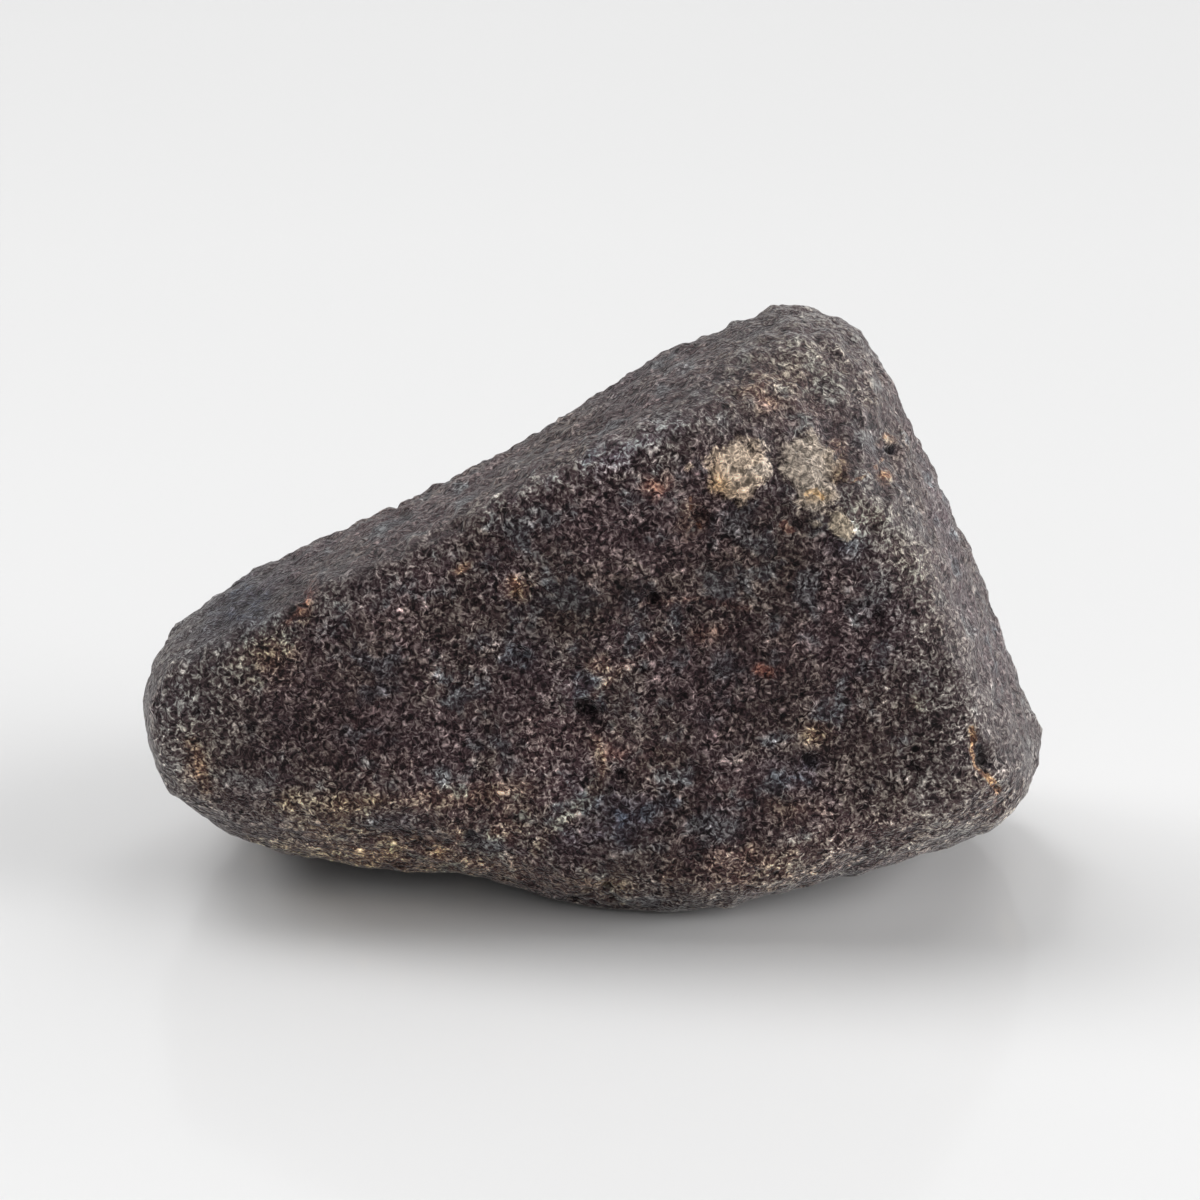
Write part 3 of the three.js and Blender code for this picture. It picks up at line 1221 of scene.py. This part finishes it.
    def _scatter_stains(self, draw: np.random.Generator, near: kdtree.KDTree) -> None:
        """Lays soft stains on the faces that the photograph does not show.

        Args:
            draw: the random numbers.
            near: finds the corners near a place.
        """
        for i in draw.integers(0, len(self.points), self.scattered_spots):
            stain = SCATTERED_STAINS[draw.integers(len(SCATTERED_STAINS))]
            radius = draw.uniform(*(self.wide_spot_mm if stain in WIDE_STAINS else self.small_spot_mm))
            strength = draw.uniform(*self.spot_strength)
            if self.faced[i]:
                continue
            share = np.zeros(len(self.points))
            for _, j, gap in near.find_range(self.points[i], radius * MM):
                share[j] = strength * (1 - (gap / (radius * MM)) ** 2)
            self._tint(stain, share)

    def _scatter_clasts(self, draw: np.random.Generator, near: kdtree.KDTree) -> None:
        """Sets pale grains in the faces that the photograph does not show.

        Args:
            draw: the random numbers.
            near: finds the corners near a place.
        """
        for i in draw.integers(0, len(self.points), self.scattered_clasts):
            grain = list(Grain)[draw.integers(len(Grain))]
            radius = draw.uniform(*self.clast_radius_mm)
            if self.faced[i]:
                continue
            for _, j, gap in near.find_range(self.points[i], radius * MM * self.scatter_reach):
                away = gap / (radius * MM) * (1 + self.ragged[j])
                self.clast[j, :3] = grain.value
                self.clast[j, 3] = max(self.clast[j, 3], min(max(self.clast_edge - away, 0), 1))
                groove = math.exp(-((away - self.groove_at) / self.clast_groove_width) ** 2)
                self.raise_mm[j] -= self.clast_groove_mm * groove

    def _lift(self, mesh: bpy.types.Mesh) -> None:
        """Moves the corners along their normals, and keeps the rest spot flat.

        Args:
            mesh: the fine mesh.
        """
        rest = self.points[:, 2] < self.rest_mm * MM
        free = np.clip(self.points[:, 2] / (self.rest_fade_mm * MM), 0, 1)
        lifted = self.points + self.normals * (self.raise_mm * free * MM)[:, None]
        lifted[:, 2] = np.where(rest, 0.0, np.maximum(lifted[:, 2], 0.0))
        low, high = (np.array(corner) for corner in CAD_BOX)
        lifted = np.clip(lifted, low - self.stand_out_mm * MM, high + self.stand_out_mm * MM)
        lifted[:, 2] = np.maximum(lifted[:, 2], 0.0)
        mesh.vertices.foreach_set("co", lifted.ravel())
        mesh.update()

    def _store(self, mesh: bpy.types.Mesh) -> None:
        """Keeps the marks as attributes that the finish reads.

        Args:
            mesh: the fine mesh.
        """
        for name, values in (("sunk", self.sunk), ("rise", self.rise), ("varnish", self.varnish)):
            held = mesh.attributes.new(name, "FLOAT", "POINT")
            held.data.foreach_set("value", values)
        for name, colours in (("tint", self.tint), ("clast", self.clast)):
            held = mesh.attributes.new(name, "FLOAT_COLOR", "POINT")
            held.data.foreach_set("color", colours.ravel())


# The studio.


@dataclass(frozen=True)
class Lobe:
    """A soft light in the tent: where it hangs, how wide it is and how strong."""

    azimuth_deg: float
    elevation_deg: float
    full_deg: float
    fade_deg: float
    strength: float

    def toward(self) -> tuple[float, float, float]:
        """Returns the direction from the stone to the light."""
        a, e = math.radians(self.azimuth_deg), math.radians(self.elevation_deg)
        return (math.cos(a) * math.cos(e), math.sin(a) * math.cos(e), math.sin(e))


@dataclass(frozen=True)
class Studio:
    """A glossy pale floor and a light tent: strong lights at both sides, dim ones in front and behind."""

    floor_half_m: float = 1.2
    floor_shade: float = 0.84
    floor_gloss: float = 0.12
    floor_shine: float = 0.35
    lobes: tuple[Lobe, ...] = (
        Lobe(-10, 25, 6, 14, 5.25),
        Lobe(-25, 30, 6, 14, 1.60),
        Lobe(10, 5, 10, 26, 4.11),
        Lobe(163, 38, 5, 9, 6.00),
        Lobe(152, 50, 5, 9, 4.60),
        Lobe(136, 64, 6, 10, 6.06),
        Lobe(45, 66, 8, 16, 1.62),
        Lobe(80, 18, 20, 35, 0.60),
        Lobe(-90, 31, 10, 40, 0.55),
    )

    def build(self) -> None:
        """Makes the floor and the light."""
        self._floor()
        self._tent()
        log.info("studio: floor and tent with %d lights", len(self.lobes))

    def _floor(self) -> None:
        """Makes the floor, which is staged and is no part of the stone."""
        half = self.floor_half_m
        mesh = bpy.data.meshes.new("floor")
        ends = [(-half, -half, 0), (half, -half, 0), (half, half, 0), (-half, half, 0)]
        mesh.from_pydata(ends, [], [(0, 1, 2, 3)])
        floor = bpy.data.objects.new("floor", mesh)
        bpy.context.scene.collection.objects.link(floor)
        made = bpy.data.materials.new("floor")
        made.use_nodes = True
        g = Graph(made.node_tree)
        shade = (self.floor_shade,) * 3 + (1.0,)
        shader = g.node("ShaderNodeBsdfPrincipled", None,
                        {"Base Color": shade, "Roughness": self.floor_gloss,
                         "Specular IOR Level": self.floor_shine})
        g.node("ShaderNodeOutputMaterial", None, {"Surface": shader.outputs["BSDF"]})
        mesh.materials.append(made)

    def _tent(self) -> None:
        """Makes the light tent as the world's light, by direction."""
        world = bpy.data.worlds.new("tent")
        bpy.context.scene.world = world
        world.use_nodes = True
        g = Graph(world.node_tree)
        seen = g.node("ShaderNodeTexCoord").outputs["Generated"]
        light: Value | float = 0.0
        for lobe in self.lobes:
            facing = Value(g, g.vector("DOT_PRODUCT", {0: seen, 1: lobe.toward()}, "Value"))
            low = math.cos(math.radians(lobe.full_deg + lobe.fade_deg))
            light = facing.ease(low, math.cos(math.radians(lobe.full_deg))) * lobe.strength + light
        glow = g.node("ShaderNodeBackground", None,
                      {"Color": (1.0, 1.0, 1.0, 1.0), "Strength": light})
        g.node("ShaderNodeOutputWorld", None, {"Surface": glow.outputs["Background"]})


def main() -> None:
    """Builds the camera, the studio and the stone."""
    logging.basicConfig(level=logging.INFO, format="%(message)s")
    scene = bpy.context.scene
    scene.view_settings.view_transform = "Standard"
    view = Viewpoint()
    view.build()
    Studio().build()
    Stone(view).build()


if __name__ == "__main__":
    main()
